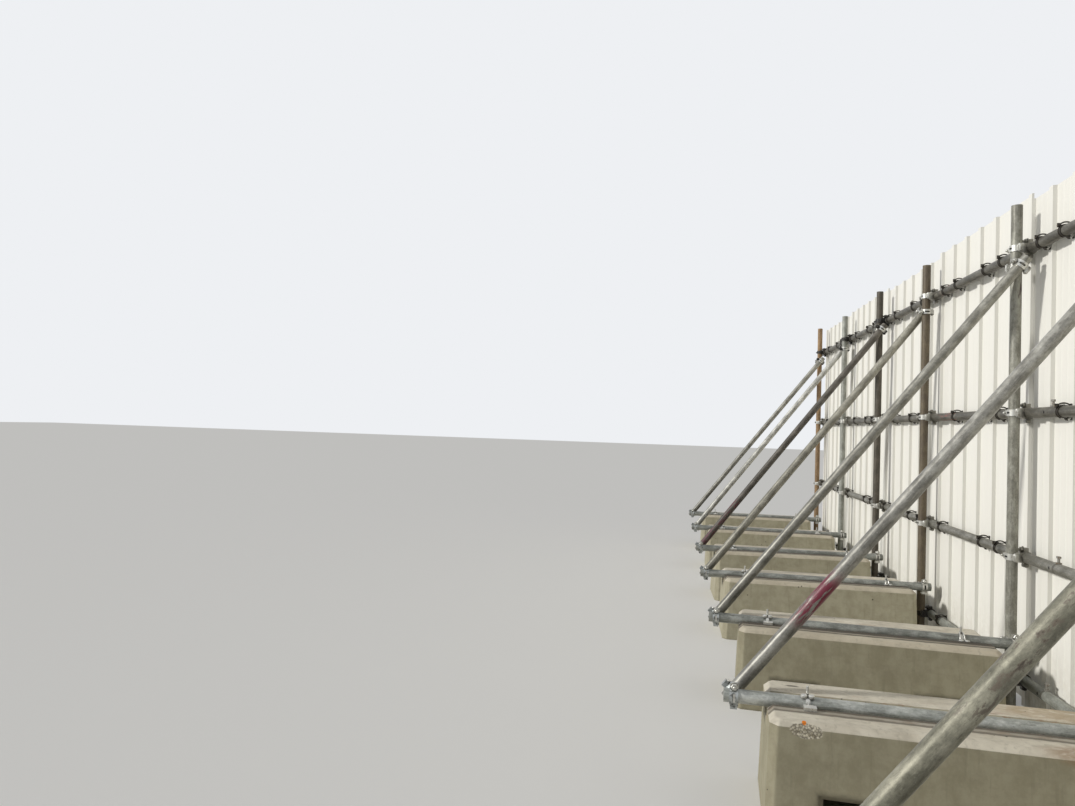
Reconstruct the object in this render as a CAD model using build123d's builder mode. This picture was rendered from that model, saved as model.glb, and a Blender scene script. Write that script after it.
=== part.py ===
from build123d import *
import math
import os

# Braced hoarding of profiled steel sheets on scaffold tube, weighted down by concrete blocks.
# Millimetres. X runs along the fence, -Y is the braced side and +Z is up.
# The origin is the centre of the middle block's underside.

# Row of frames: one frame is a block, a foot tube, a standard and a raker
frame_count = 7
rib_pitch = 207.0
ribs_per_bay = 6
frame_shifts = (100.0, 110.0, 111.0, 0.0, 67.0, -45.0, -51.0)
first_lap_offset = -62.0

# Degrees by which each frame stands turned about its standard
frame_turns = (0.0, -0.4, 1.8, 0.0, -4.5, -3.5, -1.6)

# Concrete blocks
block_length = 1120.0
block_width = 430.0
block_height = 370.0
block_draft = 12.0
block_corner = 26.0
block_top_chamfer = 18.0
groove_top_width = 140.0
groove_floor_width = 66.0
groove_depth = 65.0
pocket_width = 170.0
pocket_height = 76.0
pocket_level = 98.0
pocket_spacing = 616.0
pocket_flare = 16.0

# Scaffold tube and the clearance between it and whatever grips it
tube_diameter = 48.3
tube_wall = 4.0
tube_gap = 8.0
seat_clearance = 0.3

# Frames
block_to_standard = 100.0
standard_foot_level = 25.0
standard_top_level = 2400.0
standard_trims = (56.0, 11.0, 24.0, -8.0, 0.0, 0.0, 0.0)
foot_tube_drop = 8.0
foot_tube_reach = 1366.0
foot_tube_tail = 38.0
raker_foot_inset = 35.0
raker_foot_tail = 36.0
raker_head_drops = (100.0, 90.0, 72.0, 100.0, 88.0, 120.0, 100.0)
raker_head_tail = 44.0
raker_head_sides = (1, -1, 1, -1, 1, 1, 1)

# Ledgers, from the top one down, with the joint of each measured from the first lap
top_ledger_level = 2194.0
upper_ledger_level = 1422.0
lower_ledger_level = 753.0
bottom_ledger_level = 190.0
top_ledger_joint = 3234.0
upper_ledger_joint = 5290.0
lower_ledger_joint = 5355.0
bottom_ledger_joint = 5265.0
ledger_overhang = 92.0
joint_collar = 14.0
joint_pin_length = 230.0
joint_hole_radius = 6.5
joint_hole_setback = 32.0

# Couplers
band_width = 30.0
band_thickness = 5.0
web_size = 46.0
swivel_radius = 20.0
lug_reach = 15.0
lug_height = 20.0
lug_width = 24.0
slot_length = 30.0
slot_height = 9.0

# Clamps that hold the foot tubes down on the blocks
outer_clamp_place = -425.0
inner_clamp_place = 436.0
clamp_strap_width = 14.0
clamp_width = 34.0
clamp_lug_drop = 6.0

# Profiled sheets
sheet_thickness = 0.7
sheet_foot_level = 40.0
sheet_top_level = 2440.0
sheet_slips = (14.0, 30.0, 12.0, 34.0, 8.0, 0.0)
rib_depth = 17.0
rib_crown = 34.0
rib_base = 46.0
swage_depth = 1.0
swage_width = 16.0
lap_gap = 0.3
lap_return = 7.0
end_lip = 26.0

# Sheeting clips, with the ribs they hold at each level counted from the bay's first lap
clip_width = 13.0
clip_thickness = 3.0
clip_ear = 9.0
top_clip_ribs = (1, 2, 4, 5)
upper_clip_ribs = (2, 4, 5)
lower_clip_ribs = (1, 4, 5)
bottom_clip_ribs = (1, 3, 5)
clip_joint_clearance = 190.0

# Places that follow from the sizes above
bay = rib_pitch * ribs_per_bay
middle = (frame_count - 1) / 2
tube_radius = tube_diameter / 2
bore_radius = tube_radius - tube_wall
seat_radius = tube_radius + seat_clearance
band_radius = seat_radius + band_thickness
spacing = tube_diameter + tube_gap
frame_places = [bay * (number - middle) + frame_shifts[number] for number in range(frame_count)]
lap_places = [bay * (number - middle) + first_lap_offset for number in range(frame_count)]
standard_y = block_length / 2 + block_to_standard
ledger_y = standard_y + spacing
foot_tube_z = block_height - foot_tube_drop
foot_tube_end = standard_y - foot_tube_reach
crown_y = ledger_y + band_radius + seat_clearance
pan_y = crown_y + rib_depth
frame_spots = [
    Location((place - spacing, standard_y, 0), (0, 0, turn)) * Location((spacing, -standard_y, 0))
    for place, turn in zip(frame_places, frame_turns)
]
ledger_levels = (top_ledger_level, upper_ledger_level, lower_ledger_level, bottom_ledger_level)
ledger_joints = (top_ledger_joint, upper_ledger_joint, lower_ledger_joint, bottom_ledger_joint)
ledger_clip_ribs = (top_clip_ribs, upper_clip_ribs, lower_clip_ribs, bottom_clip_ribs)

os.makedirs("parts", exist_ok=True)


def save(part, name):
    part.label = name
    export_step(part, f"parts/{name}.step")


# A length of scaffold tube from one point to another
def make_tube(start, end):
    run = Vector(*end) - Vector(*start)
    with BuildPart() as tube:
        with BuildSketch(Plane(origin=start, z_dir=run)):
            Circle(tube_radius)
            Circle(bore_radius, mode=Mode.SUBTRACT)
        extrude(amount=run.length)
    return tube.part


# Precast block with drafted sides, a groove along its top and two lifting pockets through it
def make_block():
    with BuildPart() as block:
        with BuildSketch():
            Rectangle(block_width + 2 * block_draft, block_length + 2 * block_draft)
        with BuildSketch(Plane.XY.offset(block_height)):
            Rectangle(block_width, block_length)
        loft()
        corners = block.edges().filter_by(lambda edge: abs(edge.tangent_at(0.5).Z) > 0.9)
        chamfer(corners, length=block_corner)
        chamfer(block.faces().sort_by(Axis.Z)[-1].edges(), length=block_top_chamfer)
        with BuildSketch(Plane.XZ):
            with BuildLine():
                Polyline(
                    (-groove_top_width / 2, block_height),
                    (-groove_floor_width / 2, block_height - groove_depth),
                    (groove_floor_width / 2, block_height - groove_depth),
                    (groove_top_width / 2, block_height),
                    close=True,
                )
            make_face()
        extrude(amount=block_length, both=True, mode=Mode.SUBTRACT)
        with BuildSketch(Plane.YZ):
            with Locations((0, pocket_level)):
                with GridLocations(pocket_spacing, 0, 2, 1):
                    Rectangle(pocket_width, pocket_height)
        extrude(amount=block_width, both=True, mode=Mode.SUBTRACT)
        sides = block.faces().filter_by(lambda face: abs(face.normal_at().X) > 0.9)
        rims = [wire.edges() for face in sides for wire in face.inner_wires()]
        chamfer(rims, length=pocket_flare)
    return block.part


# Two bands back to back, each round one tube, joined by a web.
# The web is a disc where the bands swivel and a square plate where they are fixed at a right angle.
def make_coupler(first, first_axis, second, second_axis, swivel):
    link = second - first
    with BuildPart() as coupler:
        for centre, axis in ((first, first_axis), (second, second_axis)):
            with BuildSketch(Plane(origin=centre - axis * (band_width / 2), z_dir=axis)):
                Circle(band_radius)
            extrude(amount=band_width)
            side = axis.cross(link).normalized()
            for way in (side, side * -1):
                with BuildSketch(Plane(origin=centre + way * tube_radius, x_dir=axis, z_dir=way)):
                    Rectangle(lug_width, lug_height)
                extrude(amount=band_thickness + lug_reach)
        with BuildSketch(Plane(origin=first, x_dir=first_axis, z_dir=link)):
            if swivel:
                Circle(swivel_radius)
            else:
                Rectangle(web_size, web_size)
        extrude(amount=link.length)
        for centre, axis in ((first, first_axis), (second, second_axis)):
            with BuildSketch(Plane(origin=centre - axis * web_size, z_dir=axis)):
                Circle(seat_radius)
            extrude(amount=2 * web_size, mode=Mode.SUBTRACT)
        for centre, axis, away in ((first, first_axis, link * -1), (second, second_axis, link)):
            across = axis.cross(link)
            with BuildSketch(Plane(origin=centre, x_dir=across, z_dir=away)):
                SlotOverall(slot_length, slot_height)
            extrude(amount=2 * band_radius, mode=Mode.SUBTRACT)
    return coupler.part


# Narrow strap over the tube on a saddle post that stands on the floor of the block's groove
def make_clamp():
    post_foot = block_height - groove_depth + seat_clearance
    with BuildPart() as clamp:
        with BuildSketch(Plane.XZ.offset(-clamp_strap_width / 2)):
            with Locations((0, foot_tube_z)):
                Circle(band_radius)
        extrude(amount=clamp_strap_width)
        with BuildSketch(Plane.XZ.offset(-clamp_width / 2)):
            with Locations((0, post_foot)):
                Rectangle(2 * tube_radius, foot_tube_z - post_foot, align=(Align.CENTER, Align.MIN))
            with Locations((0, foot_tube_z - clamp_lug_drop)):
                Rectangle(2 * (band_radius + lug_reach), lug_height)
        extrude(amount=clamp_width)
        with BuildSketch(Plane.XZ.offset(-clamp_width)):
            with Locations((0, foot_tube_z)):
                Circle(seat_radius)
        extrude(amount=2 * clamp_width, mode=Mode.SUBTRACT)
    return clamp.part


# Strap over one ledger with an ear above and an ear below, both flat on a rib's crown
def make_clip():
    strap_radius = seat_radius + clip_thickness / 2
    ear_y = crown_y - ledger_y - seat_clearance - clip_thickness / 2
    ear_end = strap_radius + clip_ear
    with BuildPart() as clip:
        with BuildSketch(Plane.YZ.offset(-clip_width / 2)):
            with BuildLine():
                Polyline((ear_y, ear_end), (ear_y, strap_radius), (0, strap_radius))
                ThreePointArc((0, strap_radius), (-strap_radius, 0), (0, -strap_radius))
                Polyline((0, -strap_radius), (ear_y, -strap_radius), (ear_y, -ear_end))
            trace(line_width=clip_thickness)
        extrude(amount=clip_width)
    return clip.part


# Middle line of a rib that stands towards the braced side, from its left foot to its right foot.
# A tucked rib is smaller all round by the given amount, so that it nests behind the next sheet.
def rib_points(x, tuck=0.0, left_height=0.0, right_height=0.0):
    depth = rib_depth - sheet_thickness
    slope = (rib_base - rib_crown) / 2 / depth
    inset = tuck * math.hypot(1, slope)

    def half_width(height):
        return rib_base / 2 - slope * height - inset

    top = depth - tuck
    line_y = pan_y - sheet_thickness / 2
    return [
        (x - half_width(left_height), line_y - left_height),
        (x - half_width(top), line_y - top),
        (x + half_width(top), line_y - top),
        (x + half_width(right_height), line_y - right_height),
    ]


# Shallow stiffening swages in the pan that follows a rib
def swage_points(x):
    line_y = pan_y - sheet_thickness / 2
    pan_width = rib_pitch - rib_base
    points = []
    for share in (1 / 3, 2 / 3):
        centre = x + rib_base / 2 + pan_width * share
        points.append((centre - swage_width / 2, line_y))
        points.append((centre - swage_width / 4, line_y - swage_depth))
        points.append((centre + swage_width / 4, line_y - swage_depth))
        points.append((centre + swage_width / 2, line_y))
    return points


# Profiled sheet over one bay: its first rib laps over the last rib of the sheet before it
def make_sheet(number):
    start = lap_places[number]
    line_y = pan_y - sheet_thickness / 2
    tuck = sheet_thickness + lap_gap
    is_first = number == 0
    is_last = number == frame_count - 2
    points = []
    if is_first:
        points.append((start - rib_base / 2 - end_lip, line_y))
    points += rib_points(start, left_height=0.0 if is_first else lap_return)
    for rib in range(1, ribs_per_bay):
        points += swage_points(start + rib_pitch * (rib - 1))
        points += rib_points(start + rib_pitch * rib)
    points += swage_points(start + rib_pitch * (ribs_per_bay - 1))
    end = start + bay
    if is_last:
        points += rib_points(end)
        points.append((end + rib_base / 2 + end_lip, line_y))
    else:
        points += rib_points(end, tuck=tuck, right_height=lap_return)
    level = sheet_foot_level + sheet_slips[number]
    with BuildPart() as sheet:
        with BuildSketch(Plane.XY.offset(level)):
            with BuildLine():
                Polyline(*points)
            trace(line_width=sheet_thickness)
        extrude(amount=sheet_top_level - sheet_foot_level)
    return sheet.part


# Blocks, foot tubes, standards and rakers, one of each to a frame
block = make_block()
clamp = make_clamp()
foot_coupler = make_coupler(
    Vector(-spacing, standard_y, foot_tube_z),
    Vector(0, 0, 1),
    Vector(0, standard_y, foot_tube_z),
    Vector(0, 1, 0),
    swivel=False,
)
raker_foot_y = foot_tube_end + raker_foot_inset
foot_couplers = []
head_couplers = []
foot_tube = make_tube((0, foot_tube_end, foot_tube_z), (0, standard_y + foot_tube_tail, foot_tube_z))
for number in range(frame_count):
    top = standard_top_level + standard_trims[number]
    standard = make_tube((-spacing, standard_y, standard_foot_level), (-spacing, standard_y, top))
    raker_foot = Vector(-spacing, raker_foot_y, foot_tube_z)
    held_at = Vector(-spacing, standard_y, top_ledger_level - raker_head_drops[number])
    raker_head = held_at + Vector(raker_head_sides[number] * spacing, 0, 0)
    slope = (raker_head - raker_foot).normalized()
    raker = make_tube(raker_foot - slope * raker_foot_tail, raker_head + slope * raker_head_tail)
    foot_couplers.append(
        make_coupler(Vector(0, raker_foot_y, foot_tube_z), Vector(0, 1, 0), raker_foot, slope, swivel=True)
    )
    head_couplers.append(make_coupler(held_at, Vector(0, 0, 1), raker_head, slope, swivel=True))
    pieces = {"concrete_block": block, "foot_tube": foot_tube, "standard": standard, "raker": raker}
    for name, piece in pieces.items():
        with BuildPart() as placed:
            with Locations(frame_spots[number]):
                add(piece)
        save(placed.part, f"{name}_{number + 1}")

# Fixings of the frames
with BuildPart() as block_clamps:
    with Locations(*frame_spots):
        with Locations((0, outer_clamp_place, 0), (0, inner_clamp_place, 0)):
            add(clamp)
save(block_clamps.part, "block_clamps")

with BuildPart() as foot_tube_couplers:
    with Locations(*frame_spots):
        add(foot_coupler)
save(foot_tube_couplers.part, "foot_tube_couplers")

with BuildPart() as raker_foot_couplers:
    for spot, coupler in zip(frame_spots, foot_couplers):
        with Locations(spot):
            add(coupler)
save(raker_foot_couplers.part, "raker_foot_couplers")

with BuildPart() as raker_head_couplers:
    for spot, coupler in zip(frame_spots, head_couplers):
        with Locations(spot):
            add(coupler)
save(raker_head_couplers.part, "raker_head_couplers")

# Ledgers: each is two lengths of tube on an expanding joint pin
ledger_start = lap_places[0] - ledger_overhang
ledger_end = lap_places[-1] + ledger_overhang
ledger_names = ("top_ledger", "upper_ledger", "lower_ledger", "bottom_ledger")
joint_space = joint_collar / 2 + seat_clearance
for name, level, joint in zip(ledger_names, ledger_levels, ledger_joints):
    joint_x = lap_places[0] + joint
    with BuildPart() as ledger:
        add(make_tube((ledger_start, ledger_y, level), (joint_x - joint_space, ledger_y, level)))
        add(make_tube((joint_x + joint_space, ledger_y, level), (ledger_end, ledger_y, level)))
        with BuildSketch(Plane.XZ.offset(-ledger_y)):
            with Locations((joint_x - joint_hole_setback, level)):
                Circle(joint_hole_radius)
        extrude(amount=tube_diameter, mode=Mode.SUBTRACT)
    save(ledger.part, name)

with BuildPart() as ledger_joint_pins:
    for level, joint in zip(ledger_levels, ledger_joints):
        centre = Vector(lap_places[0] + joint, ledger_y, level)
        with BuildSketch(Plane(origin=centre, z_dir=(1, 0, 0))):
            Circle(bore_radius - seat_clearance)
        extrude(amount=joint_pin_length / 2, both=True)
        with BuildSketch(Plane(origin=centre, z_dir=(1, 0, 0))):
            Circle(tube_radius)
        extrude(amount=joint_collar / 2, both=True)
save(ledger_joint_pins.part, "ledger_joint_pins")

ledger_coupler = make_coupler(
    Vector(0, standard_y, 0), Vector(0, 0, 1), Vector(0, ledger_y, 0), Vector(1, 0, 0), swivel=False
)
with BuildPart() as ledger_couplers:
    with Locations(*[(place - spacing, 0, level) for place in frame_places for level in ledger_levels]):
        add(ledger_coupler)
save(ledger_couplers.part, "ledger_couplers")

# Sheets and the clips that tie their ribs to the ledgers, clear of the joint's near side
for number in range(frame_count - 1):
    save(make_sheet(number), f"sheet_{number + 1}")

clip = make_clip()
clip_places = []
for level, joint, held_ribs in zip(ledger_levels, ledger_joints, ledger_clip_ribs):
    for number in range(frame_count - 1):
        for rib in held_ribs:
            place = lap_places[number] + rib * rib_pitch
            to_joint = lap_places[0] + joint - place
            if rib < ribs_per_bay and not 0 < to_joint < clip_joint_clearance:
                clip_places.append((place, ledger_y, level))
with BuildPart() as sheeting_clips:
    with Locations(*clip_places):
        add(clip)
save(sheeting_clips.part, "sheeting_clips")
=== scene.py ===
"""Looks for a braced sheet hoarding: profiled steel sheets on scaffold tube, weighted by concrete blocks."""

import logging
import math
from dataclasses import dataclass, field
from enum import Enum
from functools import partial
from typing import Callable

import bpy
import numpy as np
from mathutils import Matrix, Vector

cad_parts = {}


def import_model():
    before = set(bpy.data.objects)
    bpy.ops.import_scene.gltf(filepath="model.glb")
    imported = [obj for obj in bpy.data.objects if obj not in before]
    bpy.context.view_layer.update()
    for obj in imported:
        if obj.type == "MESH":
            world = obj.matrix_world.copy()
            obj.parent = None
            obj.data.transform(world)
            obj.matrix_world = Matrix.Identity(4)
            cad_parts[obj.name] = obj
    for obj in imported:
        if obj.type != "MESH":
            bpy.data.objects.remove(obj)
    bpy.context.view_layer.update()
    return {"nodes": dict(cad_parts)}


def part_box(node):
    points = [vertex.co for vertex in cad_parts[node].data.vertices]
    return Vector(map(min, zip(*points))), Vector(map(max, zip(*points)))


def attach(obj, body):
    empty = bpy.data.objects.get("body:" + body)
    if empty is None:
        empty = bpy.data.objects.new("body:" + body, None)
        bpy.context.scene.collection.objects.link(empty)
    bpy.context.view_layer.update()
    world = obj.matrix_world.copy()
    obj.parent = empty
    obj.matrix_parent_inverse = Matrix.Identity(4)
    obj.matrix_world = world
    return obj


LOG = logging.getLogger("hoarding")
Array = np.ndarray
Tree = bpy.types.NodeTree
Node = bpy.types.Node
Material = bpy.types.Material
Thing = bpy.types.Object
Adder = Callable[..., Node]
Place = tuple[float, float, float]
Pair = tuple[float, float]
ROOT = "root"
FRAMES = range(1, 8)
LEDGERS = ("top_ledger", "upper_ledger", "lower_ledger", "bottom_ledger")
SIDEWAYS = np.array((1.0, 0.0, 0.0))
UP = np.array((0.0, 0.0, 1.0))
# Edges sharper than this many degrees stay crisp
CREASE = 32.0
# Points as near a tube's end as this, in metres, belong to its end face
END_BAND = 0.003
# A direction with more than this share along an axis counts as lying on it
MOSTLY = 0.9


# Colour and node helpers


def linear(code: str) -> tuple[float, float, float, float]:
    """Turns an sRGB hex colour into linear light.

    Args:
        code: Six hex digits, with or without a leading hash.

    Returns:
        Red, green, blue and an alpha of one.
    """
    parts = [int(code.lstrip("#")[k:k + 2], 16) / 255 for k in (0, 2, 4)]
    return (*(p / 12.92 if p <= 0.04045 else ((p + 0.055) / 1.055) ** 2.4 for p in parts), 1.0)


class Kind(Enum):
    """The nodes in use: Blender's name after ShaderNode, settings and usual input values.

    STEP is a smooth step: 0 at the first limit and 1 at the second, whichever of them is larger.
    """

    TIMES = ("Math", {"operation": "MULTIPLY"})
    PLUS = ("Math", {"operation": "ADD"})
    MINUS = ("Math", {"operation": "SUBTRACT"})
    LARGER = ("Math", {"operation": "MAXIMUM"})
    AMOUNT = ("Math", {"operation": "ABSOLUTE"})
    TIMES_PLUS = ("Math", {"operation": "MULTIPLY_ADD"})
    STEP = ("MapRange", {"interpolation_type": "SMOOTHSTEP"})
    RANGE = ("MapRange",)
    MIX = ("Mix", {"data_type": "RGBA"})
    SHADE = ("Mix", {"data_type": "RGBA", "blend_type": "MULTIPLY"})
    STRETCH = ("VectorMath", {"operation": "MULTIPLY"})
    SHIFT = ("VectorMath", {"operation": "ADD"})
    APART = ("VectorMath", {"operation": "SUBTRACT"})
    LENGTH = ("VectorMath", {"operation": "LENGTH"})
    NOISE = ("TexNoise", {}, {"Detail": 3.0, "Roughness": 0.55})
    CELLS = ("TexVoronoi",)
    AXES = ("SeparateXYZ",)
    CHANNELS = ("SeparateColor",)
    COORDINATES = ("TexCoord",)
    GEOMETRY = ("NewGeometry",)
    OWN_AXES = ("Mapping", {"vector_type": "TEXTURE"})
    OPEN_AIR = ("AmbientOcclusion", {"samples": 6})
    WORN_EDGE = ("Bevel", {"samples": 6})
    RELIEF = ("Bump",)
    PRINCIPLED = ("BsdfPrincipled",)
    DIFFUSE = ("BsdfDiffuse",)
    OUTPUT = ("OutputMaterial",)
    RAY = ("LightPath",)
    LIGHT = ("Background",)
    EITHER = ("MixShader",)
    WORLD = ("OutputWorld",)


def add(tree: Tree, kind: Kind, *values: object, **named: object) -> Node:
    """Adds one node with its settings, values and links.

    Args:
        tree: The node tree that gets the node.
        kind: The node's kind.
        *values: What its inputs in use get, in order: numbers, colours, sockets, or nodes, of which the
            first output in use is linked.
        **named: The same for inputs by name.

    Returns:
        The new node.
    """
    label, settings, usual = (*kind.value, {}, {})[:3]
    node = tree.nodes.new("ShaderNode" + label)
    for name, value in settings.items():
        setattr(node, name, value)
    pairs = [(node.inputs[name], value) for name, value in usual.items()]
    pairs += zip([socket for socket in node.inputs if socket.enabled], values)
    pairs += [(node.inputs[name], value) for name, value in named.items()]
    for socket, value in pairs:
        if isinstance(value, Node):
            value = next(output for output in value.outputs if output.enabled)
        if isinstance(value, bpy.types.NodeSocket):
            tree.links.new(value, socket)
        else:
            socket.default_value = value
    return node


# Mesh helpers


def moved(points: Array, matrix: Array) -> Array:
    """The same points after a 4 by 4 transform, as p' = R p + t on the whole array."""
    return points @ matrix[:3, :3].T + matrix[:3, 3]


def circle(corners: int) -> Array:
    """Points (cos a, sin a) round a circle, with the first on the first axis."""
    angle = np.arange(corners) * 2 * math.pi / corners
    return np.stack([np.cos(angle), np.sin(angle)], axis=-1)


def turned(radius: list[float], height: list[float], columns: int) -> Array:
    """A profile turned about Z: x = r cos a, y = r sin a, z = h; six columns make a hexagon.

    Args:
        radius: The profile's radii, from the bottom up, with 0 at both ends to close them.
        height: The profile's heights.
        columns: Points round the axis.

    Returns:
        The closed surface, as a grid of points.
    """
    r, z = np.array(radius)[:, None, None], np.array(height)[:, None, None]
    return np.concatenate([r * circle(columns), z * np.ones((columns, 1))], axis=-1)


def carried(outline: Array, path: Array) -> Array:
    """A closed outline carried along a path, with both ends closed by a last row drawn to the path.

    With X as the direction u that stays up, the frame at each path point is the path's direction t, the
    side s = u x t and the rise s' = t x s; an outline point (a, b) lands at p + a s + b s'.

    Args:
        outline: Points (a, b) of the outline, anticlockwise.
        path: Points of the path.

    Returns:
        The closed surface, as a grid of points.
    """
    along = np.gradient(path, axis=0)
    along /= np.linalg.norm(along, axis=1, keepdims=True)
    side = np.cross(SIDEWAYS, along)
    side /= np.linalg.norm(side, axis=1, keepdims=True)
    rise = np.cross(along, side)
    body = path[:, None] + outline[None, :, :1] * side[:, None] + outline[None, :, 1:] * rise[:, None]
    ends = [np.repeat(path[k][None, None], len(outline), axis=1) for k in (0, -1)]
    return np.concatenate([ends[0], body, ends[1]])


def standing(place: Array | Place, axis: Array | Place, side: Array | Place) -> Array:
    """A 4 by 4 transform that puts Z along an axis and X near a side direction.

    Args:
        place: Where the origin goes.
        axis: The direction that Z takes.
        side: A direction that X leans to; it is made square to the axis.

    Returns:
        The transform.
    """
    z = np.array(axis, float) / np.linalg.norm(axis)
    x = np.array(side, float) - np.dot(side, z) * z
    x /= np.linalg.norm(x)
    matrix = np.eye(4)
    matrix[:3] = np.stack([x, np.cross(z, x), z, place], axis=-1)
    return matrix


def at(place: Array | Place) -> Array:
    """A 4 by 4 transform that only moves the origin to a place."""
    return standing(place, UP, SIDEWAYS)


def oblong(width: float, height: float, cut: float) -> Array:
    """The outline of a flat bar with cut corners.

    Args:
        width: The size along the outline's first axis.
        height: The size along its second.
        cut: How much is cut off each corner.

    Returns:
        Eight points, anticlockwise.
    """
    w, h = width / 2, height / 2
    return np.array([
        (w - cut, -h), (w, cut - h), (w, h - cut), (w - cut, h),
        (cut - w, h), (-w, h - cut), (-w, cut - h), (cut - w, -h),
    ])


def bow(radius: float, start: float, end: float, steps: int, x: float = 0.0) -> Array:
    """Points of an arc round X, (x, r cos a, r sin a), between two angles in degrees from +Y towards +Z."""
    angle = np.radians(np.linspace(start, end, steps))
    return np.stack([np.full(steps, x), radius * np.cos(angle), radius * np.sin(angle)], axis=-1)


@dataclass(frozen=True)
class Rod:
    """A round or six-sided bar along Z; its rims may be cut, by so much inwards and along it."""

    radius: float
    low: float
    high: float
    cut: Pair | None = None
    columns: int = 12

    def surface(self) -> Array:
        """Turns the bar's profile about Z.

        Returns:
            The closed surface.
        """
        radius, height = [self.radius] * 2, [self.low, self.high]
        if self.cut:
            inner, rim = self.radius - self.cut[0], self.cut[1]
            radius = [inner, *radius, inner]
            height = [self.low, self.low + rim, self.high - rim, self.high]
        return turned([0.0, *radius, 0.0], [self.low, *height, self.high], self.columns)


@dataclass(frozen=True)
class Bar:
    """A plate or bar with cut edges between two corners."""

    low: Place
    high: Place
    cut: float

    def surface(self) -> Array:
        """Carries its outline in X and Y along Z.

        Returns:
            The closed surface.
        """
        low, high = np.array(self.low), np.array(self.high)
        path = (low + high) / 2 * (1.0, 1.0, 0.0) + np.outer((low[2], high[2]), UP)
        return carried(oblong(high[1] - low[1], high[0] - low[0], self.cut), path)


@dataclass(frozen=True)
class Hoop:
    """A round wire bent to an arc round X."""

    wire: float
    radius: float
    start: float
    end: float
    steps: int
    x: float
    corners: int = 6

    def surface(self) -> Array:
        """The wire's outline carried along the arc."""
        arc = bow(self.radius, self.start, self.end, self.steps, self.x)
        return carried(self.wire * circle(self.corners), arc)


@dataclass(frozen=True)
class Bolt:
    """A stud along Z with a washer and a hexagon nut that sits at height 0."""

    stud: float = 0.006
    nut: float = 0.0125
    thick: float = 0.011
    reach: float = 0.024
    washer: float = 0.015
    seat: float = 0.003
    tip: float = 0.0015

    def shank(self) -> Array:
        """The stud, with its tip drawn in to three quarters."""
        radius = [0.0, self.stud, self.stud, self.stud * 0.75, 0.0]
        return turned(radius, [self.seat, self.seat, self.reach - self.tip, self.reach, self.reach], 10)

    def surfaces(self) -> list[Array]:
        """All of the bolt that shows; the nut's corners are turned off at both faces.

        Returns:
            Washer, nut and stud.
        """
        top = self.seat + self.thick
        radius = [0.0, self.nut * 0.9, self.nut, self.nut, self.nut * 0.86, 0.0]
        height = [self.seat, self.seat, self.seat + self.tip, top - 0.002, top, top]
        washer = Rod(self.washer, 0.0, self.seat, columns=16)
        return [washer.surface(), turned(radius, height, 6), self.shank()]


@dataclass(frozen=True)
class Line:
    """The straight axis of a tube."""

    start: Array
    end: Array

    @property
    def way(self) -> Array:
        """Unit vector from start to end."""
        run = self.end - self.start
        return run / np.linalg.norm(run)

    def nearest(self, place: Array) -> Array:
        """The axis point closest to a place: s + ((p - s) . w) w."""
        return self.start + ((place - self.start) @ self.way) * self.way

    def distance(self, place: Array) -> float:
        """How far a place lies from the axis."""
        return float(np.linalg.norm(self.nearest(place) - place))

    def meeting(self, other: "Line") -> tuple[Array, Array]:
        """The two points where this axis and another come closest to each other.

        With w0 = s1 - s2, b = w1 . w2, d = w1 . w0 and e = w2 . w0, the first lies (b e - d) / (1 - b b)
        along this axis from its start, and the second is the other axis's point nearest to it.

        Args:
            other: The other axis.

        Returns:
            The point on this axis and the point on the other.
        """
        apart = self.start - other.start
        b, d, e = self.way @ other.way, self.way @ apart, other.way @ apart
        first = self.start + (b * e - d) / (1 - b * b) * self.way
        return first, other.nearest(first)


def corners_of(node: Thing) -> Array:
    """The corner points of a CAD node.

    Args:
        node: The node.

    Returns:
        An array with three columns.
    """
    flat = np.zeros(len(node.data.vertices) * 3)
    node.data.vertices.foreach_get("co", flat)
    return flat.reshape(-1, 3)


def middle_of(points: Array) -> Array:
    """The middle of the points' box."""
    return (points.max(axis=0) + points.min(axis=0)) / 2


def axis_of(node: Thing) -> Line:
    """The axis of a CAD tube, from its lower, left or front end.

    The direction of largest spread comes from the singular value decomposition of the points, and each
    end is the middle of the points that lie furthest along it.

    Args:
        node: The tube's node.

    Returns:
        Its axis.
    """
    points = corners_of(node)
    apart = points - middle_of(points)
    way = np.linalg.svd(apart, full_matrices=False)[2][0]
    along = apart @ (way if way.sum() > 0 else -way)
    first, last = along < along.min() + END_BAND, along > along.max() - END_BAND
    return Line(middle_of(points[first]), middle_of(points[last]))


def island_middles(node: Thing) -> list[Array]:
    """The middle of each separate solid's box in one CAD node.

    Corners at one place count as one point. Each point takes the smallest number among its neighbours
    until nothing changes, so all points of a solid end with one number.

    Args:
        node: The node.

    Returns:
        One place to a solid.
    """
    points = corners_of(node)
    own = np.unique(np.round(points, 5), axis=0, return_inverse=True)[1].reshape(-1)
    pairs = np.zeros(len(node.data.edges) * 2, dtype=np.int64)
    node.data.edges.foreach_get("vertices", pairs)
    first, second = own[pairs.reshape(-1, 2)].T
    label, before = np.arange(own.max() + 1), None
    while before is None or (label != before).any():
        before = label.copy()
        low = np.minimum(label[first], label[second])
        np.minimum.at(label, first, low)
        np.minimum.at(label, second, low)
        label = label[label]
    of_point = label[own]
    return [middle_of(points[of_point == number]) for number in np.unique(of_point)]


def new_object(name: str, data: bpy.types.ID) -> Thing:
    """Adds an object to the scene.

    Args:
        name: The object's name.
        data: Its mesh, lamp or camera.

    Returns:
        The object.
    """
    thing = bpy.data.objects.new(name, data)
    bpy.context.scene.collection.objects.link(thing)
    return thing


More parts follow.
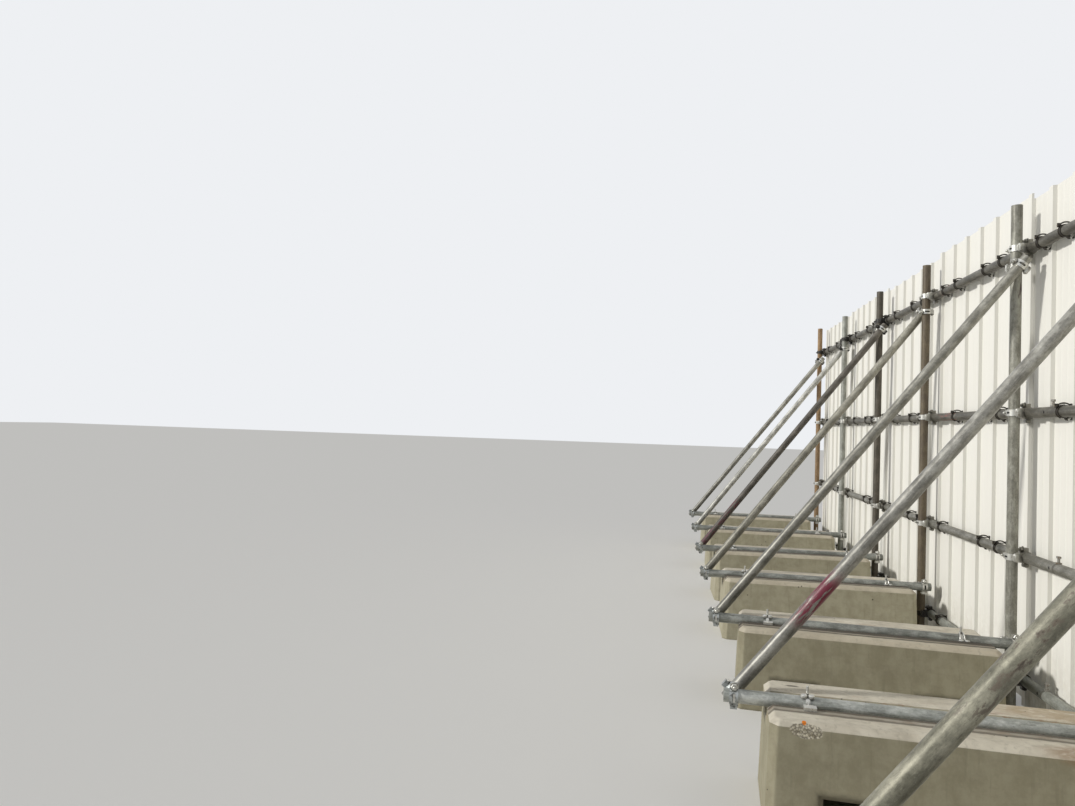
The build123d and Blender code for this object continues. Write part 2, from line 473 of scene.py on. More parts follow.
def make_piece(name: str, grids: list[Array], finish: Material) -> None:
    """Joins grids of points into one mesh that rides on the fence.

    Neighbours in a grid are joined by four-sided faces, and its last column by its first.

    Args:
        name: The piece's name.
        grids: What it is made of, each with rows, columns and three coordinates.
        finish: Its material.
    """
    faces, first = [], 0
    for grid in grids:
        number = first + np.arange(grid.size // 3).reshape(grid.shape[:2])
        ahead = np.roll(number, -1, axis=1)
        faces.append(np.stack([number[:-1], ahead[:-1], ahead[1:], number[1:]], axis=-1).reshape(-1, 4))
        first += number.size
    points = np.concatenate([grid.reshape(-1, 3) for grid in grids])
    mesh = bpy.data.meshes.new(name)
    mesh.from_pydata(points.tolist(), [], np.concatenate(faces).tolist())
    mesh.validate()
    mesh.shade_smooth()
    mesh.set_sharp_from_angle(angle=math.radians(CREASE))
    mesh.materials.append(finish)
    piece = new_object(name, mesh)
    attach(piece, ROOT)


def dress(node: Thing, finish: Material) -> None:
    """Gives a CAD node one finish."""
    node.data.materials.clear()
    node.data.materials.append(finish)


# Finishes


def new_material(name: str) -> tuple[Material, Adder]:
    """An empty node material.

    Args:
        name: The material's name.

    Returns:
        The material, and the function that adds a node to its emptied tree.
    """
    material = bpy.data.materials.new(name)
    material.use_nodes = True
    material.node_tree.nodes.clear()
    return material, partial(add, material.node_tree)


def masked(put: Adder, share: float, *steps: tuple) -> Node:
    """A share times a product of smooth steps.

    Args:
        put: Adds a node.
        share: What the product is multiplied by.
        *steps: A reading with the limits where its step is 0 and 1, or a mask alone.

    Returns:
        The mask.
    """
    mask = share
    for reading, *limits in steps:
        mask = put(Kind.TIMES, mask, put(Kind.STEP, reading, *limits) if limits else reading)
    return mask


def coat(put: Adder, colour: Node, code: str, share: float, *steps: tuple) -> Node:
    """Lays a colour over another where the steps say: c' = c + m (k - c), with m the masked share."""
    return put(Kind.MIX, masked(put, share, *steps), colour, linear(code))


def local_place(put: Adder, origin: Vector, turn: Matrix | None = None) -> Node:
    """Object coordinates in metres, from a piece's own origin and along its own axes."""
    spin = (turn or Matrix.Identity(3)).to_euler()
    return put(Kind.OWN_AXES, put(Kind.COORDINATES).outputs["Object"], origin, spin)


def shader(put: Adder, inputs: dict, height: Node, depth: float, edge: float = 0.0) -> None:
    """The closing shader of a finish, with its relief.

    Args:
        put: Adds a node.
        inputs: What the shader's inputs get, by name.
        height: The relief, from 0 to 1.
        depth: The relief's real depth in metres.
        edge: Radius in metres to which the edges look worn, or 0 for crisp ones.
    """
    worn = {"Normal": put(Kind.WORN_EDGE, edge)} if edge else {}
    bump = put(Kind.RELIEF, Height=height, Distance=depth, **worn)
    put(Kind.OUTPUT, put(Kind.PRINCIPLED, Normal=bump, **inputs))


@dataclass(frozen=True)
class PaintMark:
    """Old paint on a tube: from where to where along it, in metres, and how fully it still covers."""

    colour: str
    start: float
    end: float
    cover: float


@dataclass(frozen=True)
class TubeFinish:
    """Hot-dip galvanised scaffold tube: zinc that has dulled, with crystals, streaks, stains and rust.

    The run is how short the streaks are, the fade the painted reflection and shade that set the brightness of
    the tube's foot and of its head, and the flake the strength of the fine scuffs.
    """

    base: str
    pale: str
    stain: str
    stains: float
    metallic: float
    roughness: float
    marks: tuple[PaintMark, ...] = ()
    run: float = 0.08
    fade: Pair = (1.0, 1.0)
    flake: float = 1.0

    def material(self, name: str, foot: Vector, turn: Matrix, seed: float) -> Material:
        """The finish on one tube.

        Args:
            name: The tube's name.
            foot: The tube's lower end.
            turn: The tube's axes, with Z along it.
            seed: Moves the patterns, so that no two tubes match.

        Returns:
            The material.
        """
        material, put = new_material(f"galvanised_steel_{name}")
        place = local_place(put, foot, turn)
        along = put(Kind.AXES, place).outputs["Z"]
        shifted = put(Kind.SHIFT, place, (seed, seed * 0.37, seed * 1.7))
        # Rain draws streaks 9 mm wide and 110 mm long, hands and ropes rub lines 4 mm wide and blotches of
        # 8 mm, scuffs are up to 7 mm wide, old paint comes off in pieces some 17 mm wide, and the grit is
        # 1.4 mm, as coarse as it has to show
        grains = (
            (self.run, 110.0, 4.0), (0.5, 26.0, 5.0, 0.6), (1.0, 700.0, 2.0), (0.6 * self.run, 240.0, 3.0),
            (1.0, 120.0, 4.0, 0.65), (0.45, 150.0, 5.0, 0.75), (1.0, 5.0), (1.5 * self.run, 60.0, 5.0, 0.7),
        )
        streak, cloud, grit, line, blotch, scuff, broad, ragged = (
            put(Kind.NOISE, put(Kind.STRETCH, shifted, (1.0, 1.0, run)), *grain) for run, *grain in grains
        )
        colour = put(Kind.MIX, put(Kind.STEP, cloud, 0.36, 0.7), linear(self.base), linear(self.pale))
        # Handling rubs the high places bright and leaves the low ones dull
        for code, share, lines, blotches in (
            (self.pale, 0.4, (0.56, 0.68), (0.58, 0.68)), (self.stain, 0.3, (0.42, 0.32), (0.42, 0.34)),
        ):
            rubbed = put(Kind.LARGER, put(Kind.STEP, line, *lines), put(Kind.STEP, blotch, *blotches))
            colour = coat(put, colour, code, share, (rubbed,))
        # Zinc freezes in flat crystals about 9 mm across; each turns a little more or less light back
        crystal = put(Kind.CHANNELS, put(Kind.CELLS, shifted, 110.0).outputs["Color"])
        shade = put(Kind.TIMES_PLUS, crystal, 0.12, 0.94 - 0.5 * self.flake)
        shade = put(Kind.TIMES_PLUS, scuff, self.flake, shade)
        # Painted reflection and shade: the tube darkens towards its foot, which reflects the dark ground, and
        # brightens towards its head
        shade = put(Kind.TIMES, shade, put(Kind.RANGE, along, 0.0, 2.2, *self.fade))
        colour = put(Kind.SHADE, 1.0, colour, shade)
        # Rain washes rust and dirt down in streaks, in some places more than in others
        spots = (streak, 0.72 - 0.3 * self.stains, 0.78 - 0.16 * self.stains)
        dirty = masked(put, 1.0, spots, (broad, 0.62 - 0.4 * self.stains, 0.72))
        colour = coat(put, colour, self.stain, 0.85, (dirty,))
        bare = put(Kind.MINUS, 1.0, put(Kind.TIMES, dirty, 0.8))
        for mark in self.marks:
            torn = 0.4 * mark.cover
            ends = (along, mark.start - 0.05, mark.start + 0.04), (along, mark.end + 0.05, mark.end - 0.04)
            paint = masked(put, 1.0, *ends, (ragged, 0.72 - torn, 0.78 - torn))
            colour = coat(put, colour, mark.colour, 1.0, (paint,))
            bare = put(Kind.TIMES, bare, put(Kind.MINUS, 1.0, paint))
        inputs = {
            "Base Color": colour,
            "Metallic": put(Kind.TIMES, bare, self.metallic),
            "Roughness": put(Kind.TIMES_PLUS, cloud, 0.2, self.roughness - 0.1),
        }
        shader(put, inputs, put(Kind.TIMES_PLUS, grit, 0.5, cloud), 0.0003)
        return material


class TubeLook(Enum):
    """The looks that the fence's tubes have."""

    BRIGHT = TubeFinish("#8C8B84", "#C4C2BA", "#5C5850", 0.3, 0.45, 0.42, fade=(0.9, 1.35))
    MAROON = TubeFinish(
        "#7A7871", "#ADABA3", "#565249", 0.3, 0.42, 0.42,
        (PaintMark("#6E1F33", 0.385, 0.58, 0.66), PaintMark("#7C3A45", 0.2, 1.0, 0.15)), fade=(0.68, 1.35),
    )
    SILVER = TubeFinish("#716F67", "#9C9A91", "#504C44", 0.4, 0.45, 0.42, fade=(0.75, 1.35))
    BEIGE = TubeFinish("#716E64", "#9A978B", "#4E4A40", 0.4, 0.4, 0.44, fade=(0.85, 1.35))
    GREEN = TubeFinish(
        "#706E5F", "#9D9A89", "#4A463B", 0.3, 0.32, 0.48,
        (PaintMark("#6E6558", 0.56, 2.3, 0.45), PaintMark("#4E463C", 0.66, 0.8, 0.3)), 0.3, flake=1.2,
    )
    GREY = TubeFinish(
        "#7C7A70", "#A4A398", "#4B483F", 0.55, 0.25, 0.5, (PaintMark("#402425", 1.9, 2.09, 0.5),),
    )
    PALE = TubeFinish("#878880", "#A8AAA2", "#5A5549", 0.35, 0.3, 0.48)
    FOOT = TubeFinish("#92958F", "#C6C8C3", "#5E5C54", 0.5, 0.3, 0.44)
    DULL_FOOT = TubeFinish("#767872", "#A6A8A2", "#4A4840", 0.55, 0.3, 0.46)
    BROWN = TubeFinish("#5A5042", "#6E634F", "#3B3128", 0.6, 0.15, 0.55)
    DARK = TubeFinish("#4B463C", "#625B50", "#2F2922", 0.6, 0.15, 0.55)
    ORANGE = TubeFinish("#7F6749", "#9C8161", "#54412F", 0.6, 0.1, 0.62, fade=(0.85, 1.25))
    DARK_MAROON = TubeFinish(
        "#45413A", "#67625A", "#2E2A24", 0.5, 0.25, 0.5,
        (PaintMark("#54272F", 0.0, 0.5, 0.6),), fade=(0.9, 1.4),
    )
    LEDGER = TubeFinish(
        "#545149", "#7E7B71", "#332F28", 0.75, 0.3, 0.48, (PaintMark("#8E5C52", 4.0, 4.28, 0.45),),
    )
    LOWER = TubeFinish("#6B6960", "#94928A", "#423F37", 0.55, 0.3, 0.5)


@dataclass(frozen=True)
class FittingFinish:
    """Pressed and forged steel fittings with a thin zinc plate: bright, with brown in the low places, which
    are darkened by painted shade and dirt.
    """

    name: str
    base: str
    worn: str
    metallic: float
    roughness: float
    wear: float
    blackened: bool = False
    dirt: str = "#2E2A23"
    # Colour of the painted shade and dirt in the inner corners
    ledger_grey: str = "#7A776E"
    black: str = "#26221D"

    def material(self) -> Material:
        """Makes the finish.

        Returns:
            The material.
        """
        material, put = new_material(self.name)
        place = local_place(put, Vector((0.0, 0.0, 0.0)))
        # Patches of wear are some 17 mm wide, and the forging's grit is 2 mm, as coarse as it has to show
        cloud, grit = put(Kind.NOISE, place, 60.0, 4.0, 0.65), put(Kind.NOISE, place, 500.0, 2.0)
        worn = put(Kind.STEP, cloud, 0.75 - 0.4 * self.wear, 0.85 - 0.3 * self.wear)
        colour = put(Kind.MIX, worn, linear(self.base), linear(self.worn))
        # Painted shade with dirt and old zinc: within 9 mm of every inner corner the colour darkens, for the
        # shade that falls there
        corner = masked(put, 0.85, (put(Kind.OPEN_AIR, Distance=0.009).outputs["AO"], 0.8, 0.35))
        colour = coat(put, colour, self.dirt, 1.0, (corner,))
        worn = put(Kind.TIMES, put(Kind.LARGER, worn, corner), 0.6)
        metal = put(Kind.TIMES, put(Kind.MINUS, 1.0, worn), self.metallic)
        if self.blackened:
            x, y, z = put(Kind.AXES, place).outputs[:3]
            # The half that holds the ledger is as grey as the ledger itself
            colour = coat(put, colour, self.ledger_grey, 0.8, (y, 0.676, 0.69))
            # Near the ground, and at the top of the far frames, the zinc is gone and the steel almost black
            far = masked(put, 1.0, (z, 2.0, 2.05), (x, -0.8, -0.9))
            black = put(Kind.LARGER, far, masked(put, 1.0, (z, 0.32, 0.28), (x, 2.3, 2.2)))
            colour = coat(put, colour, self.black, 1.0, (black,))
            metal = put(Kind.TIMES, metal, put(Kind.MINUS, 1.0, black))
        rough = put(Kind.TIMES_PLUS, cloud, 0.3, self.roughness - 0.12)
        shader(put, {"Base Color": colour, "Metallic": metal, "Roughness": rough}, grit, 0.0005)
        return material


class FittingLook(Enum):
    """The looks that the small steel fittings have."""

    BRIGHT_ZINC = FittingFinish("bright_zinc_plated_steel", "#CFCEC8", "#857C6C", 0.8, 0.3, 0.4)
    LEDGER_ZINC = FittingFinish("weathered_zinc_plated_steel", "#C9C8C1", "#7F7564", 0.75, 0.32, 0.45, True)
    SPOTTED_ZINC = FittingFinish("spotted_zinc_plated_steel", "#AEB2B1", "#45443F", 0.65, 0.34, 0.7)
    DULL_ZINC = FittingFinish("dull_zinc_plated_steel", "#9B9890", "#6D5B45", 0.6, 0.42, 0.6)
    YELLOW_ZINC = FittingFinish("yellow_passivated_steel", "#85704B", "#4E3A26", 0.5, 0.42, 0.6)
    JOINT = FittingFinish("weathered_joint_steel", "#66635B", "#45403A", 0.3, 0.5, 0.5)
    CLIP = FittingFinish("weathered_strap_steel", "#38332B", "#1F1B16", 0.3, 0.5, 0.65)
    # Painted shadow: flat black for the plates in the couplers' slots and the discs in the joints' holes
    BLACK = FittingFinish("blackened_steel", "#141210", "#0E0C0A", 0.0, 0.8, 0.3)


@dataclass(frozen=True)
class Patch:
    """An ellipsoid on a block: it fades between two depths, and the mottle between two readings breaks it."""

    centre: Place
    size: Place
    fade: Pair
    colour: str = ""
    share: float = 1.0
    broken: Pair = (-1.0, -0.9)

    def mask(self, put: Adder, place: Node, mottle: Node, ragged: float = 0.0) -> Node:
        """How fully a place lies in the patch; its depth is 1 - |(p - c) / s| plus the ragged mottle.

        Args:
            put: Adds a node.
            place: The place in metres.
            mottle: The block's mottle.
            ragged: How strongly the mottle moves the patch's edge.

        Returns:
            The share, from 0 to 1.
        """
        apart = put(Kind.STRETCH, put(Kind.APART, place, self.centre), tuple(1 / half for half in self.size))
        depth = put(Kind.MINUS, 1.0, put(Kind.LENGTH, apart))
        depth = put(Kind.TIMES_PLUS, mottle, ragged, depth)
        return masked(put, 1.0, (depth, *self.fade), (mottle, *self.broken))


class ConcreteFinish:
    """Wet-cast concrete from a steel mould: smooth, cloudy, pitted with blow holes, stained by rust.

    The knock on one block has laid bare gravel, under a dot of marking paint and beside a dent; rust and
    clay have washed over that block's top.
    """

    pale, warm, strip = "#E0D9C8", "#C9C1B0", "#A3957A"
    # Painted shade: the sides' colours are darker than the tops', standing for sides that lie in shade
    near_sides, far_sides = ("#8D8770", "#9E9881"), ("#9F9982", "#AFA992")
    # Painted shade: the fourth colour darkens the rim round each lifting pocket and the fifth the insides of
    # the blow holes, the dent and the gaps in the bared gravel
    mottled, streaked, rust, damp, pit = "#7F7765", "#6E6957", "#8A5A34", "#4F493A", "#3B362C"
    # Painted shadow: dark colours for the strip beside the foot tube, for far blocks and for near blocks
    wet = ("#332D24", "#564E42")
    gravel = ("#9A917C", "#E6DECA")
    knocked = 6
    pocket = ((0.308, 0.085), (0.098, 0.038))
    knock = Patch((0.213, -0.446, 0.344), (0.05, 0.048, 0.024), (0.4, 0.5))
    dent = Patch((-0.151, -0.462, 0.37), (0.012, 0.03, 0.012), (0.0, 0.5))
    marks = (
        Patch((0.2, -0.455, 0.367), (0.008, 0.0065, 0.011), (-0.1, 0.1), "#EC8626"),
        Patch((0.195, 0.46, 0.37), (0.07, 0.28, 0.06), (0.0, 0.4), "#8A6641", 0.6, (0.3, 0.55)),
        Patch((-0.15, 0.42, 0.37), (0.1, 0.3, 0.05), (0.0, 0.5), "#A5844F", 0.45, (0.3, 0.5)),
    )

    def __init__(self, number: int, origin: Vector, turn: Matrix) -> None:
        """Starts the finish of one block with its places and its mottle, in lumps some 26 mm across.

        Args:
            number: The block's number.
            origin: The middle of the block's underside.
            turn: The block's own axes.
        """
        self.number = number
        self.made, self.put = new_material(f"cast_concrete_{number}")
        self.place = local_place(self.put, origin, turn)
        self.shifted = self.put(Kind.SHIFT, self.place, (number * 3.1, number * 1.7, 0.0))
        self.mottle = self.lumps((1.0, 0.5, 1.0), 38.0, 4.0, 0.6)

    def lumps(self, stretch: Place, *grain: float) -> Node:
        """Noise on the block, stretched along its axes; the grain is lumps to the metre and octaves."""
        return self.put(Kind.NOISE, self.put(Kind.STRETCH, self.shifted, stretch), *grain)

    def bare(self) -> Node:
        """Mixes the clean concrete: a pale cloudy top, sides darkened with painted shade, mottle and rain
        streaks.

        Returns:
            Its colour.
        """
        put, near = self.put, self.number >= self.knocked - 1
        cloud = put(Kind.STEP, put(Kind.NOISE, self.shifted, 7.0, 5.0, 0.6), 0.3, 0.7)
        colour = put(Kind.MIX, cloud, linear(self.pale), linear(self.warm))
        # The near strips of the blocks further along are darker, and the far blocks' painted shaded sides
        # somewhat paler
        if self.number < self.knocked:
            colour = coat(put, colour, self.strip, 0.4, (put(Kind.AXES, self.place), 0.06, 0.08))
        patchy = put(Kind.STEP, self.lumps((1.0, 1.0, 0.7), 13.0, 8.0, 0.7), 0.34, 0.66)
        side = put(Kind.MIX, patchy, *map(linear, self.near_sides if near else self.far_sides))
        # Painted light and shade: faces that point up keep the paler top colours and the rest take the darker
        # side colours, as lit tops and shaded sides
        up = put(Kind.AXES, put(Kind.GEOMETRY).outputs["Normal"]).outputs["Z"]
        colour = put(Kind.MIX, put(Kind.STEP, up, 0.75, 0.35), colour, side)
        colour = coat(put, colour, self.mottled, 0.22, (self.mottle, 0.45, 0.7))
        return coat(put, colour, self.streaked, 0.25, (self.lumps((1.0, 1.0, 0.08), 60.0, 4.0), 0.55, 0.75))

    def dirtied(self, colour: Node) -> Node:
        """Lays rust, and painted shade along the groove and round the lifting pockets, over the concrete.

        Args:
            colour: The colour of the clean concrete.

        Returns:
            The colour with its dirt.
        """
        put, near = self.put, self.number >= self.knocked
        x, y, z = put(Kind.AXES, self.place).outputs[:3]
        # Rust washes off the tube on to the strips beside the groove
        beside, wash = put(Kind.AMOUNT, x), self.lumps((1.0, 0.3, 1.0), 30.0, 4.0, 0.7)
        colour = coat(put, colour, self.rust, 0.6, (beside, 0.15, 0.06), (z, 0.29, 0.33), (wash, 0.5, 0.66))
        # Painted shadow: the strip along the near edge of the groove darkens in two lines, about 60 mm wide
        # together, for the shade of the foot tube and the groove
        wavy = put(Kind.TIMES_PLUS, put(Kind.PLUS, self.mottle, -0.5 if near else -1.9), 0.02, x)
        inside = (x, 0.063, 0.067)
        first = masked(put, 1.0, inside, (wavy, 0.092, 0.084))
        second = masked(put, 0.85, (wavy, 0.102, 0.109), (wavy, 0.129, 0.122))
        between = masked(put, 0.5, inside, (wavy, 0.13, 0.124))
        wet = put(Kind.LARGER, put(Kind.LARGER, first, second), between)
        colour = coat(put, colour, self.wet[near], 0.92, (wet,), (z, 0.34, 0.355))
        # Painted shade: a dark rim some 30 mm wide round each lifting pocket, for the shade in its shallow
        # recess
        outside = []
        for reading, (middle, half) in zip((put(Kind.AMOUNT, y), z), self.pocket):
            outside.append(put(Kind.MINUS, put(Kind.AMOUNT, put(Kind.MINUS, reading, middle)), half))
        rim = put(Kind.TIMES_PLUS, self.mottle, 0.03, put(Kind.LARGER, *outside))
        return coat(put, colour, self.damp, 0.55, (rim, 0.052, 0.03))

    def holes(self) -> Node:
        """Blow holes up to 10 mm across: one cell in three of 38 mm holds one.

        Returns:
            Their depth, from 0 to 1.
        """
        put = self.put
        cells = put(Kind.CELLS, self.shifted, 26.0)
        chosen = put(Kind.CHANNELS, cells.outputs["Color"])
        rim = put(Kind.MINUS, cells.outputs["Distance"], masked(put, 0.12, (chosen, 0.62, 1.0)))
        return masked(put, 1.0, (rim, 0.012, -0.012), (chosen, 0.6, 0.64))

    def damaged(self, colour: Node, hole: Node) -> tuple[Node, Node]:
        """Adds the knock with its gravel of 4 to 10 mm, the dent and the marks on the top.

        Args:
            colour: The block's colour.
            hole: The depth of the blow holes.

        Returns:
            The new colour and the new depth.
        """
        put, spot = self.put, (self.put, self.place, self.mottle)
        bare = self.knock.mask(*spot, 0.9)
        stones = put(Kind.CELLS, self.place, 150.0)
        tint = put(Kind.CHANNELS, stones.outputs["Color"]).outputs["Green"]
        gravel = put(Kind.MIX, tint, *map(linear, self.gravel))
        colour = put(Kind.MIX, masked(put, 0.85, (bare,)), colour, gravel)
        hole = put(Kind.LARGER, hole, masked(put, 0.6, (bare,), (stones.outputs["Distance"], 0.4, 0.65)))
        hole = put(Kind.LARGER, hole, masked(put, 0.8, (self.dent.mask(*spot),)))
        for mark in self.marks:
            colour = coat(put, colour, mark.colour, mark.share, (mark.mask(*spot),))
        return colour, hole

    def material(self) -> Material:
        """Puts the finish together; the mould's grain is 3 mm, as coarse as it has to show.

        Returns:
            The material.
        """
        put = self.put
        colour, hole = self.dirtied(self.bare()), self.holes()
        if self.number == self.knocked:
            colour, hole = self.damaged(colour, hole)
        # Painted shade: the blow holes, the dent and the gaps in the bared gravel darken, for the shade
        # inside them
        colour = coat(put, colour, self.pit, 0.9, (hole,))
        grain = put(Kind.TIMES, put(Kind.NOISE, self.shifted, 330.0, 3.0, 0.6), 0.25)
        relief = put(Kind.MINUS, put(Kind.TIMES_PLUS, self.mottle, 0.3, grain), hole)
        shader(put, {"Base Color": colour, "Roughness": 0.9}, relief, 0.002, 0.014)
        return self.made


@dataclass(frozen=True)
class SheetFinish:
    """Coil-coated steel: thin off-white polyester on rolled sheet, half matt, with dust low down."""

    base: str = "#F4F2EA"
    dust: str = "#C3BBAA"
    # Painted shade for the ribs' flanks
    flank: str = "#C0BFB7"

    def material(self, number: int) -> Material:
        """The finish on one sheet.

        Args:
            number: The sheet's number, which moves the patterns.

        Returns:
            The material.
        """
        material, put = new_material(f"coil_coated_steel_{number}")
        place = local_place(put, Vector((number * -3.3, 0.0, 0.0)))
        # Rain draws faint streaks some 22 mm wide, and splashes dirty the lowest half metre
        streak = put(Kind.NOISE, put(Kind.STRETCH, place, (1.0, 1.0, 0.06)), 45.0, 4.0)
        colour = put(Kind.MIX, masked(put, 0.07, (streak, 0.52, 0.8)), linear(self.base), linear(self.dust))
        splash, low = put(Kind.NOISE, place, 25.0, 5.0, 0.7), put(Kind.AXES, place).outputs["Z"]
        colour = coat(put, colour, self.dust, 0.45, (low, 0.5, 0.0), (splash, 0.35, 0.65))
        # Painted shade: the ribs' flanks are darker than the pans, as though they lay in shade
        slant = put(Kind.AMOUNT, put(Kind.AXES, put(Kind.GEOMETRY).outputs["True Normal"]))
        colour = coat(put, colour, self.flank, 0.5, (slant, 0.6, 0.9))
        # Rolled sheet is never quite flat: shallow waves a few hundred millimetres long
        shader(put, {"Base Color": colour, "Roughness": 0.5}, put(Kind.NOISE, place, 3.0, 4.0), 0.0015)
        return material


# Sub-assemblies


@dataclass
class ScaffoldTubes:
    """The upright, raking, foot and ledger tubes, each with its own age."""

    nodes: dict
    standards: str = "ORANGE PALE DARK BROWN GREY GREY SILVER"
    rakers: str = "SILVER BRIGHT DARK_MAROON BEIGE SILVER MAROON GREEN"
    feet: str = "DULL_FOOT DULL_FOOT DULL_FOOT DULL_FOOT DULL_FOOT FOOT FOOT"
    ledgers: str = "LEDGER LEDGER LOWER PALE"

    def dress_tube(self, name: str, look: str, seed: float) -> None:
        """Gives a tube its finish along its own axis.

        Args:
            name: The CAD node's name.
            look: The name of the finish's look.
            seed: Moves the patterns.
        """
        node = self.nodes[name]
        line = axis_of(node)
        side = UP if abs(line.way[0]) > MOSTLY else SIDEWAYS
        turn = Matrix(standing(line.start, line.way, side)[:3, :3].tolist())
        dress(node, TubeLook[look].value.material(name, Vector(line.start), turn, seed))

    def build(self) -> None:
        """Dresses all tubes; the seeds are spread so that no pattern comes twice."""
        for kind, looks, step, start in (
            ("standard", self.standards, 2.3, 0.0), ("raker", self.rakers, 3.1, 20.0),
            ("foot_tube", self.feet, 1.9, 50.0),
        ):
            for number, look in enumerate(looks.split()):
                self.dress_tube(f"{kind}_{number + 1}", look, number * step + start)
        for number, (name, look) in enumerate(zip(LEDGERS, self.ledgers.split())):
            self.dress_tube(name, look, number * 4.7 + 80.0)


@dataclass
class ConcreteBlocks:
    """The ballast blocks."""

    nodes: dict

    def build(self) -> None:
        """Dresses each block with the concrete finish about its own centre, turned as its foot tube."""
        for number in FRAMES:
            name = f"concrete_block_{number}"
            low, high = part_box(name)
            way = axis_of(self.nodes[f"foot_tube_{number}"]).way
            turn = Matrix(((way[1], way[0], 0.0), (-way[0], way[1], 0.0), (0.0, 0.0, 1.0)))
            origin = Vector(((low.x + high.x) / 2, (low.y + high.y) / 2, 0.0))
            dress(self.nodes[name], ConcreteFinish(number, origin, turn).material())


@dataclass
class SheetRun:
    """The profiled sheets."""

    nodes: dict

    def build(self) -> None:
        """Dresses each sheet."""
        for number in FRAMES[:-1]:
            dress(self.nodes[f"sheet_{number}"], SheetFinish().material(number))


@dataclass
class Couplers:
    """Right-angle and swivel couplers with their bolts, nuts and hinge pins."""

    nodes: dict
    bolt: Bolt = Bolt()
    lug_place: float = 0.036
    hinge_place: float = 0.0332
    lug_face: float = 0.0095
    pin: Rod = Rod(0.006, -0.0195, 0.0195, (0.0015, 0.002))
    short_pin: Rod = Rod(0.006, -0.0148, 0.0148, (0.0015, 0.0012))
    eye: Rod = Rod(0.0105, -0.0152, 0.0152, (0.0007, 0.0012), 16)
    # Painted shadow: a black plate in each pressed band's slot stands for the shade inside the slot
    tongue: Bar = Bar((-0.0135, -0.0036, 0.0235), (0.0135, 0.0036, 0.0252), 0.0008)
    flush_tongue: Bar = Bar((-0.0145, -0.0042, 0.0235), (0.0145, 0.0042, 0.0276), 0.0008)
    bands: list = field(default_factory=list)

    def join(self, first: Line, second: Line, forged: bool = False) -> None:
        """Notes both bands of the coupler where two tubes pass each other.

        Args:
            first: Axis of the tube in the first band.
            second: Axis of the tube in the second band.
            forged: Whether the coupler is a forged one, whose flaps have no open slot.
        """
        near, far = first.meeting(second)
        link = (far - near) / np.linalg.norm(far - near)
        self.bands.append((near, first.way, link, forged))
        self.bands.append((far, second.way, -link if abs(link[1]) < MOSTLY else link, forged))

    def find(self) -> None:
        """Finds every coupler from the axes of the tubes."""
        ledgers = [axis_of(self.nodes[name]) for name in LEDGERS]
        for number in FRAMES:
            standard, foot, raker = (
                axis_of(self.nodes[f"{kind}_{number}"]) for kind in ("standard", "foot_tube", "raker")
            )
            for ledger in ledgers:
                self.join(standard, ledger)
            self.join(standard, foot)
            self.join(foot, raker, forged=True)
            self.join(standard, raker)

    def hardware(self) -> tuple[list, list, list, list]:
        """What each band carries.

        Every band has a stud with its nut on the bolt lug. A pressed one has a riveted pin in its eye on
        the hinge lug and a black plate in its slot, painted as the slot's shadow; a forged one has a short
        pin and a flush tongue.

        Returns:
            The bolts, the hinge pins, the painted slot shadows and the flush tongues.
        """
        bolts, pins, shaded, flush = [], [], [], []
        for centre, axis, link, forged in self.bands:
            side = np.cross(axis, link)
            lug = standing(centre + side * self.lug_place - link * self.lug_face, -link, axis)
            bolts += [moved(part, lug) for part in self.bolt.surfaces()]
            hinge = standing(centre - side * (self.hinge_place if forged else self.lug_place), axis, link)
            rods = (self.short_pin,) if forged else (self.pin, self.eye)
            pins += [moved(rod.surface(), hinge) for rod in rods]
            tongue, tongues = (self.flush_tongue, flush) if forged else (self.tongue, shaded)
            tongues.append(moved(tongue.surface(), standing(centre, -link, side)))
        return bolts, pins, shaded, flush

    def build(self) -> None:
        """Dresses the couplers and adds what holds them shut."""
        self.find()
        worn = FittingLook.LEDGER_ZINC.value.material()
        bright = FittingLook.BRIGHT_ZINC.value.material()
        dress(self.nodes["ledger_couplers"], worn)
        dress(self.nodes["raker_head_couplers"], bright)
        dress(self.nodes["foot_tube_couplers"], bright)
        dress(self.nodes["raker_foot_couplers"], FittingLook.SPOTTED_ZINC.value.material())
        bolts, pins, shaded, flush = self.hardware()
        make_piece("coupler_bolts", bolts, worn)
        make_piece("coupler_hinge_pins", pins, worn)
        # Painted shadow: black plates in the pressed bands' slots
        make_piece("coupler_tongues", shaded, FittingLook.BLACK.value.material())
        make_piece("forged_coupler_tongues", flush, bright)


